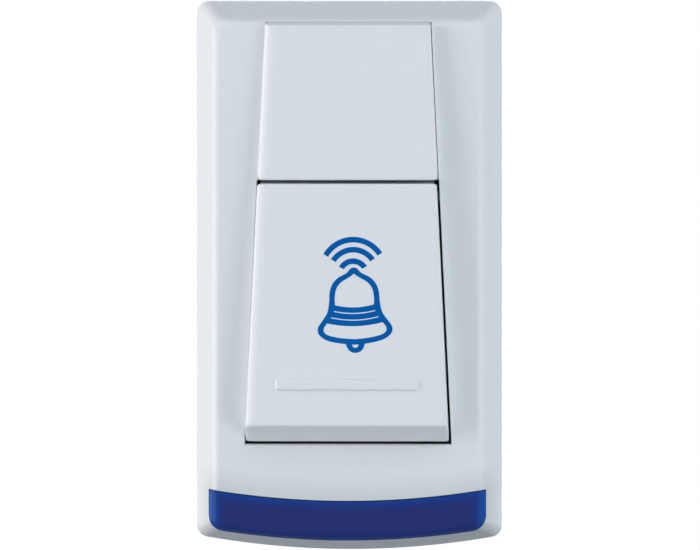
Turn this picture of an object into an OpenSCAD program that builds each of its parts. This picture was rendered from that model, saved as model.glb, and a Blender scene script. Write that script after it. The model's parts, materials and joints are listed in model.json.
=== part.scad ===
// Wireless bell push: a snap-on front unit with a hinged key on a screwed wall plate.
// Every module is drawn lying on its back, x to the right, y up the wall, z out of the wall,
// and on_wall() stands it up: the wall is the plane y = 0 and the front looks along -y.

/* [Body] */
// width of the body
body_w = 46.8; // [46:0.1:49]
// height of the body
body_h = 84; // [83:0.1:87]
// distance of the flat front from the wall
front_z = 14.5; // [14.2:0.1:16]
// height of the straight skirt before the bevel starts
skirt_z = 8; // [7.8:0.1:9]
// bevel width at both sides, seen from the front
bevel_side = 2.85; // [2.7:0.05:3.2]
// bevel width at the top, seen from the front
bevel_top = 3.1; // [3:0.05:3.3]
// bevel width at the bottom, seen from the front
bevel_foot = 1.9; // [1.8:0.05:2.1]
// radius of the bowed bottom edge
bow_r = 127; // [115:1:150]
// corner radius of the body outline
corner_r = 1.9; // [1.6:0.1:2.4]
// wall thickness of the front cover
wall = 1.8; // [1.7:0.1:2]
// gap between the skirt and the wall surface
skirt_lift = 0.3; // [0.2:0.05:0.6]

/* [Front block] */
// half width of the raised block at its top edge
block_half_top = 12.6; // [12.2:0.05:13]
// growth of the half width per mm downwards
block_taper = 0.0475; // [0.04:0.0005:0.05]
// distance of the block face from the wall at its top edge
face_top_z = 16; // [15.7:0.1:16.5]
// rise of the block face per mm downwards
face_rise = 0.0527; // [0.045:0.0005:0.06]
// gap between the fixed panel and the key
key_slot = 0.6; // [0.55:0.05:0.8]
// length of the slanted lower end of the key, seen from the front
key_slant = 2.4; // [2.2:0.1:2.6]
// play between the key and its window
key_gap = 0.22; // [0.2:0.02:0.3]
// rounding of the key edges
key_edge_r = 0.9; // [0.6:0.1:1.1]
// wall thickness of the key
key_wall = 1.5; // [1.3:0.1:1.6]
// length of the finger ridge
ridge_l = 21.4; // [18:0.2:24]
// width of the finger ridge
ridge_w = 1.6; // [1.2:0.1:2]
// height of the finger ridge
ridge_h = 0.2; // [0.15:0.05:0.4]
// distance of the finger ridge from the lower edge of the key face
ridge_up = 6.3; // [5.6:0.1:6.8]

/* [Key hinge] */
// distance of the hinge axis below the upper edge of the key
hinge_drop = 2; // [1.95:0.05:2.1]
// distance of the hinge axis from the wall
hinge_z = 10.8; // [10.7:0.05:10.9]
// radius of the hinge pins
pin_r = 1; // [0.9:0.05:1.1]
// running clearance of the hinge pins
pin_gap = 0.06; // [0.05:0.01:0.1]

/* [Signal lens] */
// half width of the lens
lens_half = 21.05; // [20.9:0.05:21.2]
// height of the lens at its middle
lens_h = 5.75; // [5.65:0.05:5.95]
// width of the cover edge below the lens
lens_margin = 1.7; // [1.6:0.05:1.8]
// lower corner radius of the lens
lens_corner_r = 2.2; // [1.8:0.1:2.4]
// wall thickness of the lens
lens_wall = 1.2; // [1:0.1:1.3]
// gap around the lens
lens_gap = 0.12; // [0.1:0.01:0.15]

/* [Wall plate] */
// thickness of the wall plate
plate_t = 2; // [1.8:0.1:2]
// height of the plate rim above the wall
rim_z = 5; // [4.6:0.1:5.2]
// distance of the wall screw holes from the ends of the body
hole_inset = 7; // [6.5:0.5:8]
// radius of the wall screw holes
hole_r = 2.1; // [1.8:0.05:2.3]
// sliding clearance between plate rim and skirt
plate_gap = 0.15; // [0.1:0.01:0.2]

/* [Circuit] */
// thickness of the circuit board
board_t = 1.6; // [1.5:0.05:1.6]
// distance of the board front from the wall
board_z = 7.6; // [7.55:0.05:7.65]
// side of the square switch
switch_w = 6; // [5.8:0.1:6.2]
// height of the switch above the board, plunger included
switch_h = 5; // [4.9:0.05:5.1]
// battery radius
cell_r = 5.15; // [5:0.05:5.15]
// battery length with its button
cell_l = 28.5; // [28:0.1:28.6]
// indicator light radius
led_r = 1.5; // [1.4:0.05:1.55]

/* [Hidden] */
$fn = 48;

// small overlap that joins or cuts cleanly
eps = 0.01;
// points per rounded corner and along the bow
corner_steps = 6;
bow_steps = 20;
// clear reach of a cut beyond the body, and the short overshoot of a cut or root
reach = body_h / 2;
over = 1;

// heights on the front, given for a body 84 high and moving with its real height
stretch = body_h / 84;
block_drop = 0.3;
block_top = body_h / 2 - bevel_top - block_drop;
panel_low = 14.6 * stretch;
key_top = panel_low - key_slot;
key_foot = -25.3 * stretch;
key_brow = key_foot + key_slant;
ridge_y = key_brow + ridge_up;
hinge_y = key_top - hinge_drop;
lens_low = lens_margin - body_h / 2;
lens_top = lens_low + lens_h;
led_rise = 0.25;
led_y = (lens_top + lens_low) / 2 + led_rise;
switch_y = -4 * stretch;
cell_y = 25 * stretch;
bay_gap = 0.3;
bay_wall = 1;
bay_low = cell_y - cell_r - bay_gap - bay_wall;

// body wall offset, worked out from the bevel slope
bevel_rise = front_z - skirt_z;
side_slope = bevel_side / bevel_rise;
top_slope = bevel_top / bevel_rise;
foot_slope = bevel_foot / bevel_rise;
inner_z = front_z - wall;
inner_side = wall * sqrt(1 + side_slope * side_slope) + side_slope * (inner_z - skirt_z);
inner_top = wall * sqrt(1 + top_slope * top_slope) + top_slope * (inner_z - skirt_z);
inner_foot = wall * sqrt(1 + foot_slope * foot_slope) + foot_slope * (inner_z - skirt_z);
inner_drop = 0.4;
inner_skirt_z = skirt_z - inner_drop;
inner_corner_r = 0.8;
plateau_corner_r = 1.6;
// small edge break where bevel and flat front meet
ridge_break_in = 0.14;
ridge_break_z = 0.3;

// seat of the fixed panel in the cover
panel_seat_z = 13.5;
panel_gap = 0.1;
panel_wall = 1.3;
panel_edge_r = 0.55;
panel_chamfer_y = 0.55;
panel_chamfer_z = 0.75;
window_lap = 0.55;
window_top = panel_low + window_lap;
clip_w = 3;
clip_t = 1.1;
clip_gap = 0.15;
clip_hook = 0.35;
clip_hook_h = 0.9;
clip_x = 8.5;
clip_room = 1.45;
clip_low_y = bay_low - clip_room;
clip_drop = 4.2;
clip_high_y = block_top - clip_drop;
clip_reach = 1.3;
clip_end_z = inner_z - clip_reach;

// key details
key_skirt_z = 11.3;
key_foot_z = 14.6;
key_inner_r = 0.4;
foot_gap = 0.42;
window_low = key_foot - foot_gap;
lip_gap = 0.08;
lip_t = 1;
lip_half = 10;
lip_lap = 1;
lip_low = window_low - lip_lap;
lip_nose = 0.85;
lip_root = 0.1;
lip_z = key_skirt_z - lip_t + lip_root;
knuckle_r = 1.95;
knuckle_in = 0.6;
knuckle_gap = 0.2;
knuckle_h = 3;
key_shift = -0.18;
key_trim = 0.08;
boss_r = 1.5;
boss_tip_r = 0.7;
boss_tip_h = 0.8;
boss_gap = 0.05;
guide_r = 1.45;
guide_h = 3;
guide_root = 0.5;
ridge_root = 0.3;
ridge_corner_r = 0.3;
face_angle = atan(face_rise);

// hinge ears under the cover
ear_t = 1.8;
ear_half = 2.3;
ear_side_gap = 0.4;
ear_x = block_half(hinge_y - ear_half) + key_gap + ear_side_gap;
pin_over = 0.2;
pin_end = ear_x + ear_t + pin_over;

// lens pocket
lens_sink = 0.12;
lens_back_z = 10.6;
lens_back_gap = 0.1;
lens_rim = 1;

// board posts and screws: x and y of the right-hand ones, beside and below the key window
post_r = 2;
post_clear = 0.41;
post_in = 1.8;
post_y = [3 * stretch, -29 * stretch];
post_x = block_half(post_y[0]) + key_gap + post_clear + post_r;
posts = [[post_x, post_y[0]], [post_x - post_in, post_y[1]]];
post_root = 0.6;
pilot_r = 0.9;
screw_r = 0.85;
screw_head_r = 1.75;
screw_head_h = 0.9;
screw_slot = [2.6, 0.5, 1.2];
screw_cover = 1.2;
screw_end_z = inner_z - screw_cover;
pilot_spare = 0.5;
board_hole_r = 1.1;

// circuit board edges
board_edge = 2;
board_half = post_x + board_edge;
board_low = lens_low + board_edge;
board_gap = 1.05;
board_top = bay_low - board_gap;

// battery bay
cell_x = 0.9;
cell_lift = 0.2;
cell_z = plate_t + cell_lift + cell_r;
button_r = 2;
button_h = 1.1;
sleeve_t = 0.13;
sleeve_gap = 0.02;
sleeve_end = 0.6;
bay_half = 13.6;
bay_low_z = 7.4;
bay_end_low_z = 5;
contact_t = 0.35;
contact_w = 6.4;
contact_gap = 0.05;
tail_lift = 0.2;
bay_end_gap = 0.1;
bay_end_out = contact_t / 2 + bay_end_gap + bay_wall / 2;
minus_l = 3.4;
tail_w = 1.5;
tab_w = 1;
tab_in = 1.9;
tab_y = board_top - tab_in;
tab_hole_r = 0.75;
lead_end_z = 4.7;

// springs and windings
turn_steps = 16;
wire_sides = 6;
spring_r = 2;
spring_wire_r = 0.24;
spring_turns = 5.5;
spring_top_gap = 0.15;
spring_x = 9;
spring_y = -12.6 * stretch;
minus_wire_r = 0.25;
minus_turns = 2.6;
minus_r_plate = 3.3;
minus_r_cell = 2;
coil_r = 2;
coil_wire_r = 0.3;
coil_turns = 4.5;
coil_l = 6;
coil_y = -19.6 * stretch;
coil_lift = 2.6;
coil_z = board_z + coil_lift;

// parts on the board: x, y of their centres
chip_at = [-8.4, 4.4 * stretch];
chip_size = [3.9, 4.9, 1.5];
chip_pitch = 1.27;
chip_leg_w = 0.4;
chip_leg_l = 1;
chip_leg_t = 0.2;
chip_leg_z = 0.8;
chip_leg_out = 0.25;
chip_rows = 4;
chip_lift = 0.1;
chip_dot = [-1.2, 1.7];
chip_dot_r = 0.35;
can_at = [7.9, 4.2 * stretch];
can_r = 4.2;
can_h = 2.8;
can_base_r = 4.55;
can_base_t = 0.5;
can_lift = 0.1;
can_break = 0.3;
can_pin_r = 0.22;
can_pin_circle_r = 2.54;
can_key = [0.9, 0.8];
can_key_root = 0.3;
sot_at = [9.6, -6.4 * stretch];
sot_size = [2.9, 1.3, 1];
sot_leg_w = 0.4;
sot_leg_l = 0.55;
sot_leg_t = 0.25;
sot_pitch = 1.9;
sot_lift = 0.05;
chip_part_size = [2, 1.25, 0.6];
resistor_at = [[-9, -3.2 * stretch], [-9, -5.4 * stretch], [-5.8, 9.6 * stretch], [6, led_y + 4]];
capacitor_at = [[9.6, -9.1 * stretch], [-4.6, -10.4 * stretch], [2, 9.6 * stretch]];
leg_t = 0.3;
leg_w = 0.7;
leg_y = 2.25;
leg_out = 0.45;
leg_top = 1.6;
leg_hole_r = 0.5;
led_base_h = 0.9;
led_flange = 0.4;
led_flat = 0.1;
led_base_r = led_r + led_flange;
led_body_h = 2.1;
led_lift = 0.2;
led_lead_x = 1.27;
led_lead_w = 0.45;
switch_lift = 0.05;
switch_base_h = 3.2;
switch_plate_t = 0.3;
switch_corner = 0.5;
strap_w = 2;
strap_h = 1.1;
plunger_r = 1.7;
plunger_flange_r = 2;
plunger_flange_t = 0.5;
plunger_gap = 0.1;
plunger_room = 0.75;
plunger_break = 0.2;
solder_r = 1;
solder_h = 0.7;
solder_tip_r = 0.65;
solder_bore_r = 0.6;

// half width of the raised block at height y
function block_half(y) = block_half_top + (block_top - y) * block_taper;

// distance of the block face from the wall at height y
function face_z(y) = face_top_z + (block_top - y) * face_rise;

// points of an arc about c, from angle a0 to a1
function arc(c, r, a0, a1, n) = [for (i = [0:n])
    let (a = a0 + (a1 - a0) * i / n)
    [c[0] + r * cos(a), c[1] + r * sin(a)]];

// body outline moved in by a at the sides, b at the top and c at the foot, with corner radius r
function outline(a, b, c, r) =
    let (w = body_w / 2 - a, top = body_h / 2 - b, bow = bow_r - c, cy = bow_r - body_h / 2)
    let (fy = cy - sqrt(pow(bow - r, 2) - pow(w - r, 2)), f = atan2(fy - cy, w - r))
    concat(
        arc([w - r, fy], r, f, 0, corner_steps),
        arc([w - r, top - r], r, 0, 90, corner_steps),
        arc([r - w, top - r], r, 90, 180, corner_steps),
        arc([r - w, fy], r, 180, 180 - f, corner_steps),
        [for (i = [1:bow_steps - 1])
            let (t = 180 - f + (180 + 2 * f) * i / bow_steps)
            [bow * cos(t), cy + bow * sin(t)]]
    );

// outline of the flat front, moved in by a
function bevel_outline(a) = outline(bevel_side + a, bevel_top + a, bevel_foot + a, plateau_corner_r);

// lens outline seen from the front, moved in by a
function lens_outline(a) =
    let (w = lens_half - a, r = lens_corner_r - a, bow = bow_r - a, cy = bow_r + lens_low)
    let (fy = cy - sqrt(pow(bow - r, 2) - pow(w - r, 2)), f = atan2(fy - cy, w - r), e = asin(w / bow_r))
    concat(
        arc([w - r, fy], r, f, 0, corner_steps),
        arc([0, bow_r + lens_top - a], bow_r, e - 90, -e - 90, bow_steps),
        arc([r - w, fy], r, 180, 180 - f, corner_steps),
        [for (i = [1:bow_steps - 1])
            let (t = 180 - f + (180 + 2 * f) * i / bow_steps)
            [bow * cos(t), cy + bow * sin(t)]]
    );

// block outline between two heights, moved in by a
function block_outline(low, high, a) = [
    [-block_half(low) + a, low], [block_half(low) - a, low],
    [block_half(high) - a, high], [-block_half(high) + a, high]];

module on_wall() {
    rotate([90, 0, 0]) children();
}

module mirrored() {
    children();
    mirror([1, 0, 0]) children();
}

module slab(points, low, high) {
    translate([0, 0, low]) linear_extrude(high - low) polygon(points);
}

module block(size, at) {
    translate([at[0] - size[0] / 2, at[1] - size[1] / 2, at[2]]) cube(size);
}

// round bar along x from x0 to x1
module bar(r, y, z, x0, x1) {
    translate([x0, y, z]) rotate([0, 90, 0]) cylinder(r = r, h = x1 - x0);
}

// outer form of the body, lowered by sink
module outer_form(sink) {
    hull() {
        slab(outline(0, 0, 0, corner_r), skirt_lift, skirt_z - sink);
        slab(bevel_outline(-ridge_break_in), skirt_z, front_z - sink - ridge_break_z);
        slab(bevel_outline(ridge_break_in), skirt_z, front_z - sink);
    }
}

// space inside the front cover, its top at z
module inner_form(top) {
    hull() {
        slab(outline(wall, wall, wall, inner_corner_r), -over, inner_skirt_z);
        slab(outline(inner_side, inner_top, inner_foot, inner_corner_r), inner_skirt_z, top);
    }
}

// middle line of a wire wound about the x axis, from radius r0 to r1, starting at +y and rising
function winding(r0, r1, length, turns) =
    let (n = round(turns * turn_steps))
    [for (i = [0:n])
        let (a = 360 * turns * i / n, r = r0 + (r1 - r0) * i / n)
        [length * i / n, r * cos(a), r * sin(a)]];

// closed round wire along a path that never runs along x
module wire(path, r) {
    n = len(path) - 1;
    points = [for (i = [0:n], j = [0:wire_sides - 1])
        let (t = path[min(i + 1, n)] - path[max(i - 1, 0)], u = cross(t, [1, 0, 0]), v = cross(t, u))
        let (b = 360 * j / wire_sides)
        path[i] + r * (cos(b) * u / norm(u) + sin(b) * v / norm(v))];
    sides = [for (i = [0:n - 1], j = [0:wire_sides - 1])
        let (low = i * wire_sides, high = low + wire_sides, k = (j + 1) % wire_sides)
        each [[low + j, high + j, high + k], [low + j, high + k, low + k]]];
    first = [for (j = [0:wire_sides - 1]) j];
    last = [for (j = [wire_sides - 1:-1:0]) n * wire_sides + j];
    polyhedron(points, concat([first], sides, [last]));
}

module wall_plate() {
    inset = wall + plate_gap;
    rim_t = 1.2;
    inner = inset + rim_t;
    rim_r = 0.7;
    pad = [30, 13];
    pad_y = 18 * stretch;
    pad_depth = 0.4;
    rib_x = 9;
    rib_w = 1;
    rib_z = 4;
    rib_low = -30 * stretch;
    rib_high = 16 * stretch;
    grip_y = [-26, 0, 30] * stretch;
    hole_y = body_h / 2 - hole_inset;
    grip_drop = 0.4;
    grip_r = 0.35;
    grip_out = 0.1;
    head_r = 3.9;
    head_depth = 1.4;
    color("gainsboro") on_wall() {
        difference() {
            union() {
                slab(outline(inset, inset, inset, rim_r), 0, plate_t);
                difference() {
                    slab(outline(inset, inset, inset, rim_r), 0, rim_z);
                    slab(outline(inner, inner, inner, rim_r), plate_t, rim_z + over);
                }
                mirrored() translate([rib_x - rib_w / 2, rib_low, plate_t - eps])
                    cube([rib_w, rib_high - rib_low, rib_z - plate_t]);
                for (y = grip_y)
                    mirrored() translate([body_w / 2 - inset - grip_r + grip_out, y, plate_t])
                        cylinder(r = grip_r, h = rim_z - plate_t - grip_drop);
            }
            for (y = [-hole_y, hole_y]) translate([0, y, 0]) {
                translate([0, 0, -over]) cylinder(r = hole_r, h = plate_t + 2 * over);
                translate([0, 0, plate_t - head_depth])
                    cylinder(r1 = hole_r, r2 = head_r, h = head_depth + eps);
            }
            for (y = [-pad_y, pad_y]) block([pad[0], pad[1], pad_depth + over], [0, y, -over]);
        }
    }
}

module front_cover() {
    notch = [8, 6, 1.9];
    color("white") on_wall() difference() {
        union() {
            difference() {
                outer_form(0);
                inner_form(inner_z);
            }
            mirrored() {
                // hinge ears
                translate([ear_x, hinge_y - ear_half, hinge_z])
                    cube([ear_t, 2 * ear_half, inner_z - hinge_z + eps]);
                bar(ear_half, hinge_y, hinge_z, ear_x, ear_x + ear_t);
                // board posts
                for (p = posts) translate([p[0], p[1], board_z])
                    cylinder(r = post_r, h = inner_z - board_z + post_root);
            }
            // battery bay walls
            for (s = [-1, 1]) translate([0, cell_y + s * (cell_r + bay_gap + bay_wall / 2), 0])
                block([2 * bay_half, bay_wall, inner_z - bay_low_z + eps], [0, 0, bay_low_z]);
            for (x = [plus_tab_x() + bay_end_out, minus_tab_x() - bay_end_out])
                block([bay_wall, contact_w, inner_z - bay_end_low_z + eps], [x, cell_y, bay_end_low_z]);
        }
        // key window with the panel seat above it
        slab(block_outline(window_low, window_top, -key_gap), inner_z - over, reach);
        slab(block_outline(panel_low - over, block_top + panel_gap, -panel_gap), panel_seat_z, reach);
        // clip holes
        for (y = [clip_low_y, clip_high_y]) mirrored()
            block([clip_w + 2 * clip_gap, clip_t + 2 * clip_gap + clip_hook, wall + 2 * over],
                [clip_x, y + clip_hook / 2, inner_z - over]);
        // lens pocket
        slab(lens_outline(-lens_gap), lens_back_z, reach);
        // hinge bores and screw pilots
        mirrored() {
            bar(pin_r + pin_gap, hinge_y, hinge_z, ear_x - over, ear_x + ear_t + over);
            for (p = posts) translate([p[0], p[1], board_z - over])
                cylinder(r = pilot_r, h = screw_end_z + pilot_spare - board_z + over);
        }
        // notch for prying the front unit off the plate
        translate([-notch[0] / 2, -body_h / 2 - notch[1] / 2, -over])
            cube([notch[0], notch[1], notch[2] + over]);
    }
}

module upper_panel() {
    high = block_top;
    low = panel_low;
    r = panel_edge_r;
    color("white") on_wall() {
        difference() {
            hull() {
                slab(block_outline(low, high, 0), panel_seat_z, face_z(high) - panel_chamfer_z);
                mirrored() {
                    translate([block_half(high) - r, high - panel_chamfer_y - r, face_z(high) - r])
                        sphere(r, $fn = 24);
                    translate([block_half(low) - r, low + r, face_z(low) - r]) sphere(r, $fn = 24);
                }
            }
            hull() {
                slab(block_outline(low + panel_wall, high - panel_wall, panel_wall), panel_seat_z - over,
                    face_z(high) - panel_wall);
                slab(block_outline(low + panel_wall, low + panel_wall + over, panel_wall), panel_seat_z,
                    face_z(low) - panel_wall);
            }
        }
        // clips through the seat
        for (y = [clip_low_y, clip_high_y]) mirrored() {
            block([clip_w, clip_t, face_z(y) - over - clip_end_z], [clip_x, y, clip_end_z]);
            block([clip_w, clip_hook + eps, clip_hook_h], [clip_x, y + (clip_t + clip_hook) / 2, clip_end_z]);
        }
    }
}

// key form moved in by a, with edge radius r and its open side at z
module key_form(a, r, open_z) {
    t = key_trim + a;
    hull() {
        slab(block_outline(key_foot + a, key_top - a, t), open_z, key_foot_z - a / 4);
        mirrored() {
            translate([block_half(key_top) - t - r, key_top - a - r, face_z(key_top) - a - r])
                sphere(r, $fn = 32);
            translate([block_half(key_brow) - t - r, key_brow + a / 2 + r, face_z(key_brow) - a - r])
                sphere(r, $fn = 32);
        }
    }
}

module bell_key() {
    rest_z = board_z + switch_h + boss_gap;
    knuckle_x = block_half(hinge_y) - key_wall - knuckle_in;
    color("white") on_wall() translate([key_shift, 0, 0]) {
        difference() {
            key_form(0, key_edge_r, key_skirt_z);
            key_form(key_wall, key_inner_r, key_skirt_z - over);
        }
        // finger ridge
        translate([0, ridge_y, face_z(ridge_y)]) rotate([-face_angle, 0, 0]) translate([0, 0, -ridge_root])
            hull() mirrored() for (s = [-1, 1])
                translate([ridge_l / 2 - ridge_corner_r, s * (ridge_w / 2 - ridge_corner_r), 0])
                    cylinder(r = ridge_corner_r, h = ridge_h + ridge_root, $fn = 24);
        // hinge knuckles and pins
        mirrored() {
            bar(knuckle_r, hinge_y, hinge_z, knuckle_x, block_half(hinge_y) - knuckle_gap);
            translate([knuckle_x, hinge_y - knuckle_r, hinge_z])
                cube([key_wall + knuckle_in - knuckle_gap, 2 * knuckle_r, knuckle_h]);
            bar(pin_r, hinge_y, hinge_z, block_half(hinge_y) - over, pin_end);
        }
        // stop lip behind the front, with a raised nose
        translate([-lip_half, lip_low, lip_z]) {
            cube([2 * lip_half, key_foot + key_wall - lip_low, lip_t]);
            cube([2 * lip_half, lip_nose, inner_z - lip_gap - lip_z]);
        }
        // boss that presses the switch
        translate([0, switch_y, rest_z]) {
            cylinder(r1 = boss_tip_r, r2 = boss_r, h = boss_tip_h);
            translate([0, 0, boss_tip_h - eps])
                cylinder(r = boss_r, h = face_z(switch_y) - over - rest_z - boss_tip_h);
        }
        // spring guides
        mirrored() translate([spring_x, spring_y, face_z(spring_y) - key_wall - guide_h])
            cylinder(r = guide_r, h = guide_h + guide_root);
    }
}

module signal_lens() {
    color("royalblue") on_wall() difference() {
        intersection() {
            outer_form(lens_sink);
            slab(lens_outline(0), lens_back_z + lens_back_gap, reach);
        }
        intersection() {
            inner_form(front_z - lens_sink - lens_wall);
            slab(lens_outline(lens_rim), 0, reach);
        }
    }
}

module circuit_board() {
    low_z = board_z - board_t;
    depth = board_t + 2 * over;
    color("darkgreen") on_wall() difference() {
        translate([-board_half, board_low, low_z]) cube([2 * board_half, board_top - board_low, board_t]);
        mirrored() for (p = posts)
            translate([p[0], p[1], low_z - over]) cylinder(r = board_hole_r, h = depth);
        for (p = lead_places()) translate([p[0], p[1], low_z - over]) cylinder(r = leg_hole_r, h = depth);
        for (p = tab_places()) translate([p[0], p[1], low_z - over]) cylinder(r = tab_hole_r, h = depth);
    }
}

// board places of the round leads: switch, light and antenna
function lead_places() = concat(
    [for (x = [-1, 1], y = [-1, 1]) [x * (switch_w / 2 + leg_out), switch_y + y * leg_y]],
    [for (s = [-1, 1]) [s * led_lead_x, led_y]],
    [for (s = [-1, 1]) [s * coil_l / 2, coil_y - s * coil_r]]);

// board places of the battery contact tails
function tab_places() = [[minus_tab_x(), tab_y], [plus_tab_x(), tab_y]];

// middle of the two battery contacts in x
function plus_tab_x() = cell_x + cell_l / 2 + contact_gap + contact_t / 2;
function minus_tab_x() = cell_x - cell_l / 2 - minus_l - contact_t / 2;

module board_screws() {
    low_z = board_z - board_t;
    color("silver") on_wall() mirrored() for (p = posts) translate([p[0], p[1], 0]) {
        difference() {
            translate([0, 0, low_z - screw_head_h]) cylinder(r = screw_head_r, h = screw_head_h);
            for (a = [0, 90]) rotate([0, 0, a])
                block(screw_slot, [0, 0, low_z - screw_head_h - screw_slot[2] / 2]);
        }
        translate([0, 0, low_z - eps]) cylinder(r = screw_r, h = screw_end_z - low_z);
    }
}

module switch_body() {
    z = board_z + switch_lift;
    color("dimgray") on_wall() difference() {
        block([switch_w, switch_w, switch_base_h], [0, switch_y, z]);
        translate([0, switch_y, z + switch_base_h - plunger_flange_t - plunger_room])
            cylinder(r = plunger_flange_r + plunger_gap, h = reach);
        for (x = [-1, 1], y = [-1, 1])
            block([2 * switch_corner, 2 * switch_corner, reach],
                [x * switch_w / 2, switch_y + y * switch_w / 2, 0]);
    }
}

module switch_cover() {
    z = board_z + switch_lift + switch_base_h;
    color("silver") on_wall() {
        difference() {
            block([switch_w, switch_w - 2 * switch_corner, switch_plate_t], [0, switch_y, z]);
            translate([0, switch_y, z - over])
                cylinder(r = plunger_r + plunger_gap, h = switch_plate_t + 2 * over);
        }
        // side straps over the body
        mirrored() block([switch_plate_t, strap_w, strap_h + switch_plate_t],
            [switch_w / 2 + switch_plate_t / 2, switch_y, z - strap_h]);
    }
}

module switch_legs() {
    z = board_z + switch_lift + leg_top;
    color("silver") on_wall() for (x = [-1, 1], y = [-1, 1]) {
        block([leg_t, leg_w, z - lead_end_z],
            [x * (switch_w / 2 + leg_out), switch_y + y * leg_y, lead_end_z]);
        block([leg_out + leg_t / 2, leg_w, leg_t],
            [x * (switch_w / 2 + leg_out / 2 + leg_t / 4), switch_y + y * leg_y, z - leg_t]);
    }
}

module switch_plunger() {
    top = board_z + switch_h;
    flange_z = board_z + switch_lift + switch_base_h - plunger_flange_t;
    color("black") on_wall() translate([0, switch_y, 0]) {
        translate([0, 0, flange_z]) cylinder(r = plunger_flange_r, h = plunger_flange_t);
        translate([0, 0, flange_z + eps]) cylinder(r = plunger_r, h = top - flange_z - plunger_break);
        translate([0, 0, top - plunger_break])
            cylinder(r1 = plunger_r, r2 = plunger_r - plunger_break, h = plunger_break);
    }
}

module indicator_led() {
    z = board_z + led_lift;
    color("deepskyblue") on_wall() translate([0, led_y, z]) {
        difference() {
            cylinder(r = led_base_r, h = led_base_h);
            translate([led_r + led_flat, -reach / 2, -over]) cube([reach, reach, reach]);
        }
        cylinder(r = led_r, h = led_base_h + led_body_h);
        translate([0, 0, led_base_h + led_body_h]) intersection() {
            sphere(led_r);
            block([reach, reach, reach], [0, 0, -eps]);
        }
    }
}

module led_leads() {
    color("silver") on_wall() mirrored()
        block([led_lead_w, led_lead_w, board_z + led_lift - lead_end_z], [led_lead_x, led_y, lead_end_z]);
}

module battery_can() {
    color("silver") on_wall() {
        bar(cell_r - sleeve_t - sleeve_gap, cell_y, cell_z,
            cell_x - cell_l / 2, cell_x + cell_l / 2 - button_h);
        bar(button_r, cell_y, cell_z, cell_x + cell_l / 2 - button_h - eps, cell_x + cell_l / 2);
    }
}

module battery_sleeve() {
    x0 = cell_x - cell_l / 2 + sleeve_end;
    x1 = cell_x + cell_l / 2 - button_h - sleeve_end;
    color("goldenrod") on_wall() difference() {
        bar(cell_r, cell_y, cell_z, x0, x1);
        bar(cell_r - sleeve_t, cell_y, cell_z, x0 - 1, x1 + 1);
    }
}

module battery_spring() {
    x0 = cell_x - cell_l / 2 - minus_l + minus_wire_r + contact_gap;
    length = minus_l - 2 * minus_wire_r - 2 * contact_gap;
    color("silver") on_wall() translate([x0, cell_y, cell_z])
        wire(winding(minus_r_plate, minus_r_cell, length, minus_turns), minus_wire_r);
}

// flat contact at x with its tail to the board
module contact(x) {
    block([contact_t, contact_w, contact_w + over], [x, cell_y, cell_z - contact_w / 2]);
    translate([x - contact_t / 2, tab_y - tab_w / 2, board_z + tail_lift])
        cube([contact_t, cell_y - tab_y, tail_w]);
    block([contact_t, tab_w, board_z + over - lead_end_z], [x, tab_y, lead_end_z]);
}

module spring_tab() {
    color("silver") on_wall() contact(minus_tab_x());
}

module plus_contact() {
    color("silver") on_wall() contact(plus_tab_x());
}

module antenna_coil() {
    drop = coil_z - lead_end_z;
    turns = winding(coil_r, coil_r, coil_l, coil_turns);
    path = concat([[0, coil_r, -drop]], turns, [[coil_l, -coil_r, -drop]]);
    color("peru") on_wall() translate([-coil_l / 2, coil_y, coil_z]) wire(path, coil_wire_r);
}

module resonator_can() {
    z = board_z + can_lift + can_base_t;
    color("silver") on_wall() translate([can_at[0], can_at[1], z]) {
        cylinder(r = can_r, h = can_h - can_break);
        translate([0, 0, can_h - can_break]) cylinder(r1 = can_r, r2 = can_r - can_break, h = can_break);
    }
}

module resonator_base() {
    color("gray") on_wall() translate([can_at[0], can_at[1], board_z + can_lift]) {
        cylinder(r = can_base_r, h = can_base_t);
        rotate([0, 0, 45]) translate([can_base_r - can_key_root, -can_key[1] / 2, 0])
            cube([can_key[0], can_key[1], can_base_t]);
        for (a = [0, 90, 180]) rotate([0, 0, a]) translate([can_pin_circle_r, 0, -can_lift])
            cylinder(r = can_pin_r, h = 2 * can_lift, $fn = 16);
    }
}

module encoder_chip() {
    color("black") on_wall() difference() {
        block(chip_size, [chip_at[0], chip_at[1], board_z + chip_lift]);
        translate([chip_at[0] + chip_dot[0], chip_at[1] + chip_dot[1], board_z + chip_size[2]])
            cylinder(r = chip_dot_r, h = over, $fn = 24);
    }
}

module chip_legs() {
    color("silver") on_wall() translate([chip_at[0], chip_at[1], board_z]) mirrored()
        for (i = [0:chip_rows - 1])
            translate([chip_size[0] / 2, (i - (chip_rows - 1) / 2) * chip_pitch - chip_leg_w / 2, 0]) {
                translate([0, 0, chip_leg_z]) cube([chip_leg_out + chip_leg_t, chip_leg_w, chip_leg_t]);
                translate([chip_leg_out, 0, 0]) cube([chip_leg_t, chip_leg_w, chip_leg_z + chip_leg_t]);
                translate([chip_leg_out, 0, 0]) cube([chip_leg_l - chip_leg_out, chip_leg_w, chip_leg_t]);
            }
}

module transistor() {
    color("black") on_wall() block(sot_size, [sot_at[0], sot_at[1], board_z + sot_lift]);
}

module transistor_legs() {
    reach_y = sot_size[1] / 2 + sot_leg_l / 2;
    color("silver") on_wall() translate([sot_at[0], sot_at[1], board_z]) {
        mirrored() block([sot_leg_w, sot_leg_l, sot_leg_t], [sot_pitch / 2, -reach_y, 0]);
        block([sot_leg_w, sot_leg_l, sot_leg_t], [0, reach_y, 0]);
    }
}

// surface-mounted parts with metal caps wrapped around both ends
module chip_parts(places) {
    for (p = places) block(chip_part_size, [p[0], p[1], board_z]);
}

module resistors() {
    color("black") on_wall() chip_parts(resistor_at);
}

module capacitors() {
    color("tan") on_wall() chip_parts(capacitor_at);
}

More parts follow.
